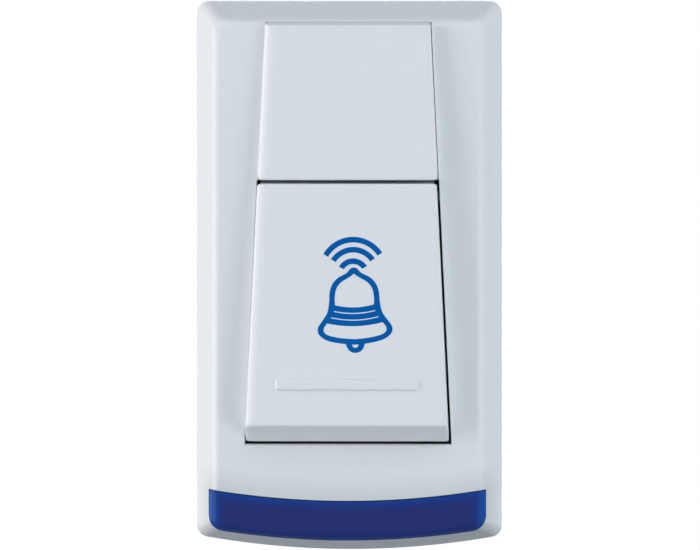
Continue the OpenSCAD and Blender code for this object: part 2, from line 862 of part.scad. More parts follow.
module return_spring(x) {
    low = board_z + spring_wire_r;
    high = face_z(spring_y) - key_wall - spring_wire_r - spring_top_gap;
    color("silver") on_wall() translate([x, spring_y, low]) rotate([0, -90, 0])
        wire(winding(spring_r, spring_r, high - low, spring_turns), spring_wire_r);
}

module return_spring_left() {
    return_spring(key_shift - spring_x);
}

module return_spring_right() {
    return_spring(key_shift + spring_x);
}

// solder cones on the back of the board
module solder_joints() {
    z = board_z - board_t;
    places = concat(lead_places(), tab_places());
    color("lightgray") on_wall() for (p = places) translate([p[0], p[1], z - solder_h]) difference() {
        cylinder(r1 = solder_tip_r, r2 = solder_r, h = solder_h, $fn = 24);
        translate([0, 0, -over]) cylinder(r = solder_bore_r, h = solder_h + 2 * over, $fn = 24);
    }
}

wall_plate();
front_cover();
upper_panel();
bell_key();
signal_lens();
circuit_board();
board_screws();
switch_body();
switch_cover();
switch_legs();
switch_plunger();
indicator_led();
led_leads();
battery_can();
battery_sleeve();
battery_spring();
spring_tab();
plus_contact();
antenna_coil();
resonator_can();
resonator_base();
encoder_chip();
chip_legs();
transistor();
transistor_legs();
resistors();
capacitors();
return_spring_left();
return_spring_right();
solder_joints();
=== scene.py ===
"""Looks of a wireless bell push: white moulded case, hinged wedge key with a printed bell, blue light window.

Shapes are drawn in bench millimetres, x to the right, y up the wall and z out of the wall.
"""

import json
import math

import bmesh
import bpy
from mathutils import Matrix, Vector


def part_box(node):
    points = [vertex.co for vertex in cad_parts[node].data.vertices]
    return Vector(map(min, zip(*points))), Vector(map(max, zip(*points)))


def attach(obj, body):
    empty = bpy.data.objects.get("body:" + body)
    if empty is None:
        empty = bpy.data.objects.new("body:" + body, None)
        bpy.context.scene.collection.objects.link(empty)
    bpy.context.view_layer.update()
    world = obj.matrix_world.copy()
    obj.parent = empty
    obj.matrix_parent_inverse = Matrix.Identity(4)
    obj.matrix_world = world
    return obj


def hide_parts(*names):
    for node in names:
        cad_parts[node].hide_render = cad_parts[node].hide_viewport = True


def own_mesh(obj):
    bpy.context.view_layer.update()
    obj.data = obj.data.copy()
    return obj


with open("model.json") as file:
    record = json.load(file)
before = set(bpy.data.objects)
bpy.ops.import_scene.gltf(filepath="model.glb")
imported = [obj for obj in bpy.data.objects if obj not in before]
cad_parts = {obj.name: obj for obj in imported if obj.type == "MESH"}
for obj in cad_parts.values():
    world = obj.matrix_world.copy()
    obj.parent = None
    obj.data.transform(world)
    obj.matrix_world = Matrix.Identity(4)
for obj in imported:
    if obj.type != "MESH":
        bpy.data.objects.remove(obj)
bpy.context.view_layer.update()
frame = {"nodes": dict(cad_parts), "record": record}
nodes = frame["nodes"]
MM = 0.001


def at(x, y, z):
    """Bench millimetres as a point of the frame, in metres."""
    return Vector((x, -z, y)) * MM


def bench_box(node):
    """Lowest and highest bench corner of a CAD node, in millimetres."""
    low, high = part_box(node)
    return Vector((low.x, low.z, -high.y)) / MM, Vector((high.x, high.z, -low.y)) / MM


# ---- sizes -------------------------------------------------------------------

cover_low, cover_high = bench_box("front_cover")
panel_box_low, panel_box_high = bench_box("upper_panel")
lens_box_low, lens_box_high = bench_box("signal_lens")
BOARD_Z = bench_box("circuit_board")[1].z

# body
BODY_HALF = cover_high.x
BODY_TOP = cover_high.y
FRONT_Z = cover_high.z
SKIRT_LIFT = cover_low.z
SKIRT_Z = 8.0
BEVEL_SIDE = 2.85
BEVEL_TOP = 3.1
BEVEL_FOOT = 1.9
BOW_R = 127.0
CORNER_R = 1.9
PLATEAU_CORNER_R = 1.6
FRONT_EDGE_R = 1.5
SHOULDER_R = 0.8
HEM_R = 0.25
WALL = 1.8
INNER_Z = FRONT_Z - WALL
INNER_DROP = 0.4
INNER_SKIRT_Z = SKIRT_Z - INNER_DROP
INNER_CORNER_R = 0.8
NOTCH_HALF = 4.0
NOTCH_L = 3.0
NOTCH_Z = 1.9

# raised block: fixed panel above, key below, both with crowned sides
PANEL_RAISE = 0.1
BLOCK_TOP = panel_box_high.y + PANEL_RAISE
BLOCK_HALF_TOP = 12.6
BLOCK_TAPER = 0.0475
FACE_TOP_Z = 16.0
FACE_RISE = 0.0527
SIDE_R = 0.4
CROWN_W = 1.6
CROWN_R = 2.3
CROWN_W_RIGHT = 1.3
CROWN_R_RIGHT = 6.0
UNDER_FACE = 1.0  # depth below the face at which clips, guides and boss end

# fixed panel
PANEL_LOW = panel_box_low.y
PANEL_SEAT_Z = 13.5
PANEL_PLAY = 0.01
PANEL_WALL = 1.3
PANEL_CHAMFER = 0.47
PANEL_CHAMFER_Z = 1.4
PANEL_SOFT = 0.15
PANEL_GAP = 0.03
PANEL_GAP_RIGHT = 0.12
PANEL_HIGH_R = 0.12
PANEL_LOW_R = 0.35
PANEL_HIGH_CORNER_R = 0.3
PANEL_LOW_CORNER_R = 0.6
CLIP_X = 8.5
CLIP_LOW_Y = 17.1
CLIP_FROM_TOP = 4.2
CLIP_YS = (CLIP_LOW_Y, BLOCK_TOP - CLIP_FROM_TOP)
CLIP_HALF = 1.5
CLIP_HALF_T = 0.55
CLIP_PAST = 1.3
CLIP_PLAY = 0.15
HOOK_REACH = 0.9
HOOK_PLAY = 0.4
HOOK_JOIN = 0.05

# key and its window
SLOT_W = 0.53
KEY_TOP = PANEL_LOW - SLOT_W
KEY_FOOT = -25.3
FOOT_L = 2.36
KEY_BROW = KEY_FOOT + FOOT_L
BROW_SOFT = 0.7
KEY_FOOT_Z = 14.6
KEY_SKIRT_Z = 11.3
KEY_WALL = 1.5
KEY_SHIFT = -0.13
KEY_TRIM = 0.08
KEY_GAP = 0.16
KEY_GAP_RIGHT = 0.13
KEY_HIGH_R = 0.48
KEY_LOW_R = 0.12
KEY_HIGH_CORNER_R = 0.6
KEY_LOW_CORNER_R = 0.35
WINDOW_PAST = 0.55
WINDOW_TOP = PANEL_LOW + WINDOW_PAST
FOOT_GAP = 0.42
WINDOW_LOW = KEY_FOOT - FOOT_GAP
WINDOW_FLARE = 0.55
WINDOW_FLARE_SIDE = 0.22  # share of the flare that the sides get

# finger ridge on the key
RIDGE_L = 21.8
RIDGE_W = 1.75
RIDGE_H = 0.35
RIDGE_RISE = 6.36
RIDGE_Y = KEY_BROW + RIDGE_RISE
RIDGE_CORNER_R = 0.35
RIDGE_EDGE = 0.4
RIDGE_ROOT = 0.3

# behind the key: stop lip with its nose, light stop in the slot above, switch boss
LIP_HALF = 10.0
LIP_T = 0.5
LIP_DROP = 0.9
LIP_Z = KEY_SKIRT_Z - LIP_DROP
LIP_REACH = 1.0
LIP_ROOT_IN = 0.3
LIP_ROOT_T = 1.5
NOSE_BACK = 0.15
NOSE_GAP = 0.08
STOP_HALF = 13.3
STOP_W = 0.3
STOP_T = 0.8
STOP_DEPTH = 4.6
SWITCH_Y = -4.0
BOSS_R = 1.5
BOSS_TIP_R = 0.7
BOSS_TIP_Z = 12.65
BOSS_CONE = 0.8

# hinge and return springs
HINGE_Y = 12.0
HINGE_Z = 10.8
PIN_R = 1.0
PIN_GAP = 0.06
PIN_PAST = 0.2
KNUCKLE_R = 1.95
KNUCKLE_IN = 0.6
KNUCKLE_OUT = 0.2
KNUCKLE_ROOT = 3.0
EAR_HALF = 2.3
EAR_T = 1.8
EAR_PLAY = 0.4
SPRING_X = 9.0
SPRING_Y = -12.6
GUIDE_R = 1.45
GUIDE_L = 3.0
GUIDE_CHAMFER = 0.2

# board posts and battery bay
POST_R = 2.0
POST_Y = 3.0
POST_LOW_Y = -29.0
POST_LOW_IN = 1.8
POST_PLAY = 0.41
POST_ROOT = 0.6
PILOT_R = 0.9
PILOT_END = 0.7
CELL_Y = 25.0
BAY_Y = 5.95
BAY_T = 1.0
BAY_HALF = 13.6
BAY_Z = 7.4
BAY_END_XS = (16.15, -17.7)
BAY_END_HALF = 3.2
BAY_END_Z = 5.0

# lens
LENS_WIDEN = 0.15
LENS_HALF = lens_box_high.x + LENS_WIDEN
LENS_SHIFT = -0.15
LENS_DEEPEN = 0.19
LENS_LOW = lens_box_low.y - LENS_DEEPEN
LENS_H = 5.75
LENS_TOP = lens_box_low.y + LENS_H
LENS_CORNER_R = 2.5
LENS_GAP = 0.03
LENS_SEAM = 0.1
LENS_SINK = 0.12
LENS_BACK_Z = 10.6
LENS_SEAT = 0.1
LENS_WALL = 1.2
LENS_RIM = 1.0
POCKET_FLARE = 0.06

# fineness of the meshes
CORNER_STEPS = 14
BOW_STEPS = 56
EDGE_STEPS = 8
FLARE_STEPS = 4
MIDDLE_STEPS = 10
FACE_ROWS = 40
FOLD_ROWS = 16
FOLD_REACH = 0.8
RIDGE_STEPS = 6
RIDGE_CORNER_STEPS = 5
PEG_SIDES = 32
BAR_SIDES = 40
WIRE_SIDES = 12
WELD = 0.002
SHARP = 30.0  # edges that bend by more degrees stay sharp
BLOCK_SHARP = 40.0
WIRE_SHARP = 60.0

# how far cutting tools pass through, and roots sink in
REACH = 40.0
OVER = 1.0
JOIN = 0.1


def block_half(y):
    """Half width of the raised block at height y."""
    return BLOCK_HALF_TOP + (BLOCK_TOP - y) * BLOCK_TAPER


def face_z(y):
    """Distance of the block face from the wall at height y."""
    return FACE_TOP_Z + (BLOCK_TOP - y) * FACE_RISE


def inner_inset(bevel):
    """How far the inner form lies inside the outline at the front, for a bevel width."""
    slope = bevel / (FRONT_Z - SKIRT_Z)
    return WALL * math.hypot(1, slope) + slope * (INNER_Z - SKIRT_Z)


EAR_X = block_half(HINGE_Y - EAR_HALF) + KEY_GAP + EAR_PLAY
POST_X = block_half(POST_Y) + KEY_GAP + POST_PLAY + POST_R
POSTS = [(POST_X, POST_Y), (POST_X - POST_LOW_IN, POST_LOW_Y)]

# ---- mesh helpers ------------------------------------------------------------


def mesh_object(name, points, faces):
    """Linked mesh object from bench points, with its normals outwards."""
    mesh = bpy.data.meshes.new(name)
    mesh.from_pydata([at(*p) for p in points], [], faces)
    shape = bmesh.new()
    shape.from_mesh(mesh)
    bmesh.ops.recalc_face_normals(shape, faces=shape.faces)
    shape.to_mesh(mesh)
    shape.free()
    obj = bpy.data.objects.new(name, mesh)
    bpy.context.scene.collection.objects.link(obj)
    return obj


def loft(name, rings):
    """Closed solid through rings of equal length, with a flat cap at both ends."""
    count = len(rings[0])
    points = [p for level in rings for p in level]
    faces = [tuple(range(count))]
    for i in range(len(rings) - 1):
        for j in range(count):
            k = (j + 1) % count
            faces.append((i * count + j, i * count + k, (i + 1) * count + k, (i + 1) * count + j))
    faces.append(tuple((len(rings) - 1) * count + j for j in range(count)))
    return mesh_object(name, points, faces)


def ring(outline, z):
    """Outline of (x, y) pairs at one distance from the wall."""
    return [(x, y, z) for x, y in outline]


def prism(name, outline, low, high):
    """Straight solid over an outline."""
    return loft(name, [ring(outline, low), ring(outline, high)])


def brick(name, low, high):
    """Box between two bench corners."""
    outline = [(low[0], low[1]), (high[0], low[1]), (high[0], high[1]), (low[0], high[1])]
    return prism(name, outline, low[2], high[2])


def peg(name, x, y, levels):
    """Turned peg along z from (radius, z) levels."""
    turn = [math.tau * (i + 0.5) / PEG_SIDES for i in range(PEG_SIDES)]
    return loft(name, [[(x + r * math.cos(a), y + r * math.sin(a), z) for a in turn] for r, z in levels])


def bar(name, r, y, z, x0, x1):
    """Round bar along x."""
    turn = [math.tau * (i + 0.5) / BAR_SIDES for i in range(BAR_SIDES)]
    return loft(name, [[(x, y + r * math.cos(a), z + r * math.sin(a)) for a in turn] for x in (x0, x1)])


def tube(name, path, r):
    """Round wire along a path of bench points."""
    line = [Vector(p) for p in path]
    turn = [math.tau * i / WIRE_SIDES for i in range(WIRE_SIDES)]
    rings = []
    side = None
    for i, p in enumerate(line):
        along = (line[min(i + 1, len(line) - 1)] - line[max(i - 1, 0)]).normalized()
        side = along.orthogonal() if side is None else side - along * side.dot(along)
        side.normalize()
        up = along.cross(side)
        rings.append([p + r * (side * math.cos(a) + up * math.sin(a)) for a in turn])
    return shade(loft(name, rings), WIRE_SHARP)


def settle(obj):
    """Replaces an object's mesh by the result of its modifiers."""
    graph = bpy.context.evaluated_depsgraph_get()
    mesh = bpy.data.meshes.new_from_object(obj.evaluated_get(graph))
    old = obj.data
    obj.modifiers.clear()
    obj.data = mesh
    bpy.data.meshes.remove(old)


def combine(obj, tools, operation):
    """Cuts, joins or intersects an object with tool objects, which are used up."""
    for tool in tools:
        step = obj.modifiers.new("combine", "BOOLEAN")
        step.operation = operation
        step.solver = "EXACT"
        step.object = tool
        settle(obj)
        bpy.data.objects.remove(tool)
    shape = bmesh.new()
    shape.from_mesh(obj.data)
    bmesh.ops.remove_doubles(shape, verts=shape.verts, dist=WELD * MM)
    bmesh.ops.dissolve_degenerate(shape, edges=shape.edges, dist=WELD * MM)
    shape.to_mesh(obj.data)
    shape.free()
    return obj


def shade(obj, angle=SHARP):
    """Smooth shading with sharp edges above an angle, and flats kept flat."""
    obj.data.shade_smooth()
    obj.data.set_sharp_from_angle(angle=math.radians(angle))
    weighted = obj.modifiers.new("weighted", "WEIGHTED_NORMAL")
    weighted.keep_sharp = True
    return obj


def arc(cx, cy, r, start, end, steps):
    """Points of an arc, angles in degrees."""
    turn = [math.radians(start + (end - start) * i / steps) for i in range(steps + 1)]
    return [(cx + r * math.cos(a), cy + r * math.sin(a)) for a in turn]


# ---- outlines ----------------------------------------------------------------


def bowed_outline(half, top, low, bow, r):
    """Outline with round corners and a bowed lower edge, from the lower right corner round."""
    cy = low + bow
    fy = cy - math.sqrt((bow - r) ** 2 - (half - r) ** 2)
    f = math.degrees(math.atan2(fy - cy, half - r))
    return (
        arc(half - r, fy, r, f, 0, CORNER_STEPS)
        + arc(half - r, top - r, r, 0, 90, CORNER_STEPS)
        + arc(r - half, top - r, r, 90, 180, CORNER_STEPS)
        + arc(r - half, fy, r, 180, 180 - f, CORNER_STEPS)
        + arc(0, cy, bow, -180 - f, f, BOW_STEPS)[1:-1]
    )


def body_outline(side, top, foot, r):
    """Body outline moved in at the sides, the top and the foot."""
    return bowed_outline(BODY_HALF - side, BODY_TOP - top, foot - BODY_TOP, BOW_R - foot, r)


def lens_outline(inset, seam=0.0):
    """Lens outline moved in by inset: both long edges bowed, lower corners round, top edge raised by seam."""
    half = LENS_HALF - inset
    r = LENS_CORNER_R - inset
    bow = BOW_R - inset
    cy = BOW_R + LENS_LOW
    fy = cy - math.sqrt((bow - r) ** 2 - (half - r) ** 2)
    f = math.degrees(math.atan2(fy - cy, half - r))
    e = math.degrees(math.asin(half / BOW_R))
    outline = (
        arc(half - r, fy, r, f, 0, CORNER_STEPS)
        + arc(0, BOW_R + LENS_TOP - inset + seam, BOW_R, e - 90, -e - 90, BOW_STEPS)
        + arc(r - half, fy, r, 180, 180 - f, CORNER_STEPS)
        + arc(0, cy, bow, -180 - f, f, BOW_STEPS)[1:-1]
    )
    return [(x + LENS_SHIFT, y) for x, y in outline]


def block_outline(low, high, inset):
    """Outline of the raised block between two heights, moved in by inset."""
    return [
        (inset - block_half(low), low),
        (block_half(low) - inset, low),
        (block_half(high) - inset, high),
        (inset - block_half(high), high),
    ]


def shifted(outline, left, right):
    """Outline moved out by left on its left half and by right on its right half."""
    return [(x - left if x < 0 else x + right, y) for x, y in outline]


def rounded_path(corners, steps):
    """Polyline with each (u, v, radius) inner corner replaced by an arc."""
    path = [Vector(corners[0][:2])]
    for before, here, after in zip(corners, corners[1:], corners[2:]):
        p = Vector(here[:2])
        a = (Vector(before[:2]) - p).normalized()
        b = (Vector(after[:2]) - p).normalized()
        half = a.angle(b) / 2
        centre = p + (a + b).normalized() * here[2] / math.sin(half)
        first = p + a * here[2] / math.tan(half) - centre
        last = p + b * here[2] / math.tan(half) - centre
        sweep = -first.angle_signed(last)
        for i in range(steps + 1):
            c, s = math.cos(sweep * i / steps), math.sin(sweep * i / steps)
            path.append(centre + Vector((first.x * c - first.y * s, first.x * s + first.y * c)))
    path.append(Vector(corners[-1][:2]))
    return path


def outer_form(name, sink):
    """Outer form of the case: skirt, bevel and flat front with soft edges, lowered by sink."""
    profile = rounded_path(
        [
            (2 * HEM_R, SKIRT_LIFT, 0),
            (0, SKIRT_LIFT, HEM_R),
            (0, SKIRT_Z, SHOULDER_R),
            (BEVEL_SIDE, FRONT_Z, FRONT_EDGE_R),
            (2 * BEVEL_SIDE, FRONT_Z, 0),
        ],
        EDGE_STEPS,
    )
    rings = []
    for inset, z in profile[1:-1]:
        share = inset / BEVEL_SIDE
        r = CORNER_R + (PLATEAU_CORNER_R - CORNER_R) * min(share, 1)
        rings.append(ring(body_outline(inset, share * BEVEL_TOP, share * BEVEL_FOOT, r), z - sink))
    return loft(name, rings)


def inner_form(name, top):
    """Space inside the cover up to top."""
    wide = body_outline(WALL, WALL, WALL, INNER_CORNER_R)
    insets = [inner_inset(bevel) for bevel in (BEVEL_SIDE, BEVEL_TOP, BEVEL_FOOT)]
    narrow = body_outline(*insets, INNER_CORNER_R)
    return loft(name, [ring(wide, -OVER), ring(wide, INNER_SKIRT_Z), ring(narrow, top)])


# ---- wedge-shaped blocks: panel and key --------------------------------------


def soft_min(a, b, soft):
    """Smaller of two heights, rounded where they meet."""
    near = max(soft - abs(a - b), 0) / soft
    return min(a, b) - near * near * soft / 4


def edge_drop(inset, r):
    """Drop of a rounded edge at a distance inside it."""
    return 0.0 if inset >= r else r - math.sqrt(r * r - (r - inset) ** 2)


def crown_drop(x, half):
    """Drop of the face towards its sides, rounder on the left."""
    inset = half - abs(x)
    if x < 0:
        return max(CROWN_W - inset, 0) ** 2 / (2 * CROWN_R)
    return max(CROWN_W_RIGHT - inset, 0) ** 2 / (2 * CROWN_R_RIGHT)


def wedge(name, low, high, fold, half, top, skirt_z, wall, high_r, low_r, high_corner_r, low_corner_r):
    """Hollow block from low to high with an open back at skirt_z.

    Its half width is half(y) and its face is top(y), which bends at fold. The radii round the edges and the
    corners of the face at its upper and lower end.
    """
    bend = [math.pi / 2 * i / EDGE_STEPS for i in range(EDGE_STEPS + 1)]
    side = [SIDE_R * (1 - math.cos(a)) for a in bend]
    side += [SIDE_R + (CROWN_W - SIDE_R) * i / EDGE_STEPS for i in range(1, EDGE_STEPS + 1)]
    rows = [low + low_r * (1 - math.cos(a)) for a in bend]
    rows += [high - high_r * (1 - math.cos(a)) for a in bend]
    inside = [low + low_r + (high - high_r - low - low_r) * i / FACE_ROWS for i in range(1, FACE_ROWS)]
    rows += [y for y in inside if abs(y - fold) > FOLD_REACH]
    close = [fold + FOLD_REACH * i / FOLD_ROWS for i in range(-FOLD_ROWS, FOLD_ROWS + 1)]
    rows += [y for y in close if low + low_r < y < high - high_r]
    rows.sort()
    middle = [i / MIDDLE_STEPS - 1 for i in range(1, 2 * MIDDLE_STEPS)]
    outer, inner = [], []
    for y in rows:
        h = half(y) - edge_drop(y - low, low_corner_r) - edge_drop(high - y, high_corner_r)
        brim = h - CROWN_W
        xs = [s - h for s in side] + [brim * t for t in middle] + [h - s for s in reversed(side)]
        end_drop = edge_drop(high - y, high_r) + edge_drop(y - low, low_r)
        inner_y = low + wall + (y - low) / (high - low) * (high - low - 2 * wall)
        for x in xs:
            outer.append((x, y, top(y) - edge_drop(h - abs(x), SIDE_R) - crown_drop(x, h) - end_drop))
            inner.append((x * (half(inner_y) - wall) / h, inner_y, top(inner_y) - wall))
    columns = len(side) * 2 + len(middle)
    last = len(rows) - 1
    edge = list(range(columns))
    edge += [i * columns + columns - 1 for i in range(1, last + 1)]
    edge += [last * columns + j for j in range(columns - 2, -1, -1)]
    edge += [i * columns for i in range(last - 1, 0, -1)]
    points = outer + inner
    shift = len(outer)
    faces = []
    for i in range(last):
        for j in range(columns - 1):
            quad = (i * columns + j, i * columns + j + 1, (i + 1) * columns + j + 1, (i + 1) * columns + j)
            faces.append(quad)
            faces.append(tuple(q + shift for q in reversed(quad)))
    outer_hem = len(points)
    points += [(points[e][0], points[e][1], skirt_z) for e in edge]
    inner_hem = len(points)
    points += [(points[e + shift][0], points[e + shift][1], skirt_z) for e in edge]
    for i, e in enumerate(edge):
        k = (i + 1) % len(edge)
        faces.append((e, edge[k], outer_hem + k, outer_hem + i))
        faces.append((outer_hem + i, outer_hem + k, inner_hem + k, inner_hem + i))
        faces.append((inner_hem + i, inner_hem + k, edge[k] + shift, e + shift))
    return mesh_object(name, points, faces)


# ---- front cover -------------------------------------------------------------


def flared_cut(name, outline, low, lip):
    """Cutting tool through the front whose mouth opens softly at the surface."""
    rings = [ring(outline(0), low)]
    for i in range(FLARE_STEPS + 1):
        a = math.pi / 2 * i / FLARE_STEPS
        rings.append(ring(outline(-lip * (1 - math.cos(a))), FRONT_Z - lip * (1 - math.sin(a))))
    rings.append(ring(outline(-lip), FRONT_Z + REACH))
    return loft(name, rings)


def window_outline(inset):
    """Opening for the key, with a softer lower edge than at its sides."""
    outline = block_outline(WINDOW_LOW + inset, PANEL_LOW, inset * WINDOW_FLARE_SIDE)
    return shifted(outline, KEY_GAP, KEY_GAP_RIGHT)


def pocket_outline(inset):
    """Opening for the lens."""
    return lens_outline(inset - LENS_GAP, LENS_SEAM)


def build_cover():
    """Case shell with ears, posts and battery bay inside, cut out for key, panel, lens, clips and prising."""
    cover = outer_form("case_front", 0)
    combine(cover, [inner_form("space", INNER_Z)], "DIFFERENCE")
    root_z = INNER_Z + JOIN
    adds = []
    for s in (-1, 1):
        x0, x1 = sorted((s * EAR_X, s * (EAR_X + EAR_T)))
        adds.append(bar("ear", EAR_HALF, HINGE_Y, HINGE_Z, x0, x1))
        adds.append(brick("ear_root", (x0, HINGE_Y - EAR_HALF, HINGE_Z), (x1, HINGE_Y + EAR_HALF, root_z)))
        for px, py in POSTS:
            adds.append(peg("post", s * px, py, [(POST_R, BOARD_Z), (POST_R, INNER_Z + POST_ROOT)]))
        y = CELL_Y + s * BAY_Y
        adds.append(brick("bay", (-BAY_HALF, y - BAY_T / 2, BAY_Z), (BAY_HALF, y + BAY_T / 2, root_z)))
    for x in BAY_END_XS:
        adds.append(brick("bay_end", (x - BAY_T / 2, CELL_Y - BAY_END_HALF, BAY_END_Z),
                          (x + BAY_T / 2, CELL_Y + BAY_END_HALF, root_z)))
    combine(cover, adds, "UNION")
    past_key = block_outline(PANEL_LOW - OVER, WINDOW_TOP, PANEL_WALL / 2)
    seat = block_outline(PANEL_LOW - OVER, BLOCK_TOP + PANEL_GAP, 0)
    cuts = [
        flared_cut("window", window_outline, INNER_Z - OVER, WINDOW_FLARE),
        prism("window_top", past_key, INNER_Z - OVER, REACH),
        prism("seat", shifted(seat, PANEL_GAP, PANEL_GAP_RIGHT), PANEL_SEAT_Z, REACH),
        flared_cut("pocket", pocket_outline, LENS_BACK_Z, POCKET_FLARE),
        brick("notch", (-NOTCH_HALF, -BODY_TOP - NOTCH_L, -OVER), (NOTCH_HALF, -BODY_TOP + NOTCH_L, NOTCH_Z)),
    ]
    hole_half = CLIP_HALF + CLIP_PLAY
    for s in (-1, 1):
        x0, x1 = sorted((s * (EAR_X - OVER), s * (EAR_X + EAR_T + OVER)))
        cuts.append(bar("bore", PIN_R + PIN_GAP, HINGE_Y, HINGE_Z, x0, x1))
        for px, py in POSTS:
            cuts.append(peg("pilot", s * px, py, [(PILOT_R, BOARD_Z - OVER), (PILOT_R, INNER_Z - PILOT_END)]))
        for y in CLIP_YS:
            x = s * CLIP_X
            cuts.append(brick("clip_hole", (x - hole_half, y - CLIP_HALF_T - CLIP_PLAY, INNER_Z - OVER),
                              (x + hole_half, y + HOOK_REACH + CLIP_PLAY, FRONT_Z + OVER)))
    combine(cover, cuts, "DIFFERENCE")
    return shade(cover)


# ---- panel and key -----------------------------------------------------------


def panel_top(y):
    """Face of the fixed panel with the slanted strip at its upper edge."""
    strip = face_z(BLOCK_TOP) - PANEL_CHAMFER_Z + (BLOCK_TOP - y) * PANEL_CHAMFER_Z / PANEL_CHAMFER
    return soft_min(face_z(y), strip, PANEL_SOFT)


def build_panel():
    """Fixed panel with four hooked clips behind it."""
    panel = wedge("top_panel", PANEL_LOW, BLOCK_TOP, BLOCK_TOP - PANEL_CHAMFER, block_half, panel_top,
                  PANEL_SEAT_Z + PANEL_PLAY, PANEL_WALL, PANEL_HIGH_R, PANEL_LOW_R,
                  PANEL_HIGH_CORNER_R, PANEL_LOW_CORNER_R)
    clip_z, hook_z = INNER_Z - CLIP_PAST, INNER_Z - HOOK_PLAY
    clips = []
    for s in (-1, 1):
        x0, x1 = s * CLIP_X - CLIP_HALF, s * CLIP_X + CLIP_HALF
        for y in CLIP_YS:
            side_y = y + CLIP_HALF_T
            clips.append(brick("clip", (x0, y - CLIP_HALF_T, clip_z), (x1, side_y, face_z(y) - UNDER_FACE)))
            clips.append(brick("hook", (x0, side_y - HOOK_JOIN, clip_z), (x1, y + HOOK_REACH, hook_z)))
    combine(panel, clips, "UNION")
    return shade(panel, BLOCK_SHARP)


def key_half(y):
    """Half width of the key at height y."""
    return block_half(y) - KEY_TRIM


def key_top(y):
    """Face of the key with the slanted lower end."""
    slope = (face_z(KEY_BROW) - KEY_FOOT_Z) / (KEY_BROW - KEY_FOOT)
    return soft_min(face_z(y), KEY_FOOT_Z + (y - KEY_FOOT) * slope, BROW_SOFT)


def finger_ridge():
    """Raised bar across the key, square-ended with soft edges."""
    def outline(inset):
        r = RIDGE_CORNER_R - inset / 2
        x, y = RIDGE_L / 2 - inset - r, RIDGE_W / 2 - inset - r
        corners = ((x, y), (-x, y), (-x, -y), (x, -y))
        return [p for i, (cx, cy) in enumerate(corners)
                for p in arc(cx, cy, r, 90 * i, 90 * (i + 1), RIDGE_CORNER_STEPS)]
    bend = [math.pi / 2 * i / RIDGE_STEPS for i in range(1, RIDGE_STEPS + 1)]
    levels = [(0, -RIDGE_ROOT)] + [(RIDGE_EDGE * (1 - math.cos(a)), RIDGE_H * math.sin(a)) for a in bend]
    return loft("finger_ridge", [[(x, RIDGE_Y + y, face_z(RIDGE_Y + y) + z) for x, y in outline(inset)]
                                 for inset, z in levels])


def build_key():
    """Key with finger ridge, hinge pins, spring guides, stop lip, light stop and switch boss."""
    key = wedge("push_key", KEY_FOOT, KEY_TOP, KEY_BROW, key_half, key_top, KEY_SKIRT_Z, KEY_WALL,
                KEY_HIGH_R, KEY_LOW_R, KEY_HIGH_CORNER_R, KEY_LOW_CORNER_R)
    half = block_half(HINGE_Y)
    guide_top = face_z(SPRING_Y)
    guide_z = guide_top - KEY_WALL - GUIDE_L
    guide = [(GUIDE_R - GUIDE_CHAMFER, guide_z), (GUIDE_R, guide_z + GUIDE_CHAMFER),
             (GUIDE_R, guide_top - UNDER_FACE)]
    adds = [finger_ridge()]
    for s in (-1, 1):
        x0, x1 = sorted((s * (half - KEY_WALL - KNUCKLE_IN), s * (half - KNUCKLE_OUT)))
        adds.append(bar("knuckle", KNUCKLE_R, HINGE_Y, HINGE_Z, x0, x1))
        adds.append(brick("knuckle_root", (x0, HINGE_Y - KNUCKLE_R, HINGE_Z),
                          (x1, HINGE_Y + KNUCKLE_R, HINGE_Z + KNUCKLE_ROOT)))
        x0, x1 = sorted((s * (half - OVER), s * (EAR_X + EAR_T + PIN_PAST)))
        adds.append(bar("pin", PIN_R, HINGE_Y, HINGE_Z, x0, x1))
        adds.append(peg("guide", s * SPRING_X, SPRING_Y, guide))
    lip_end, lip_in = WINDOW_LOW - LIP_REACH, KEY_FOOT + KEY_WALL
    adds.append(brick("lip", (-LIP_HALF, lip_end, LIP_Z), (LIP_HALF, lip_in, LIP_Z + LIP_T)))
    adds.append(brick("lip_root", (-LIP_HALF, KEY_FOOT + LIP_ROOT_IN, LIP_Z),
                      (LIP_HALF, lip_in, LIP_Z + LIP_ROOT_T)))
    adds.append(brick("nose", (-LIP_HALF, lip_end, LIP_Z),
                      (LIP_HALF, WINDOW_LOW - NOSE_BACK, INNER_Z - NOSE_GAP)))
    stop_z = face_z(KEY_TOP) - STOP_DEPTH
    adds.append(brick("light_stop", (-STOP_HALF, KEY_TOP - KEY_WALL / 2, stop_z - STOP_T),
                      (STOP_HALF, KEY_TOP + STOP_W, stop_z)))
    adds.append(peg("boss", 0, SWITCH_Y, [(BOSS_TIP_R, BOSS_TIP_Z), (BOSS_R, BOSS_TIP_Z + BOSS_CONE),
                                          (BOSS_R, face_z(SWITCH_Y) - UNDER_FACE)]))
    combine(key, adds, "UNION")
    for vertex in key.data.vertices:
        vertex.co.x += KEY_SHIFT * MM
    return shade(key, BLOCK_SHARP)


# ---- printed bell ------------------------------------------------------------

BELL_X = 1.1
BELL_Y = -3.66
BELL_LEAN = 1.35
PRINT_LIFT = 0.015
PRINT_T = 0.02
PRINT_WELD = 0.0001

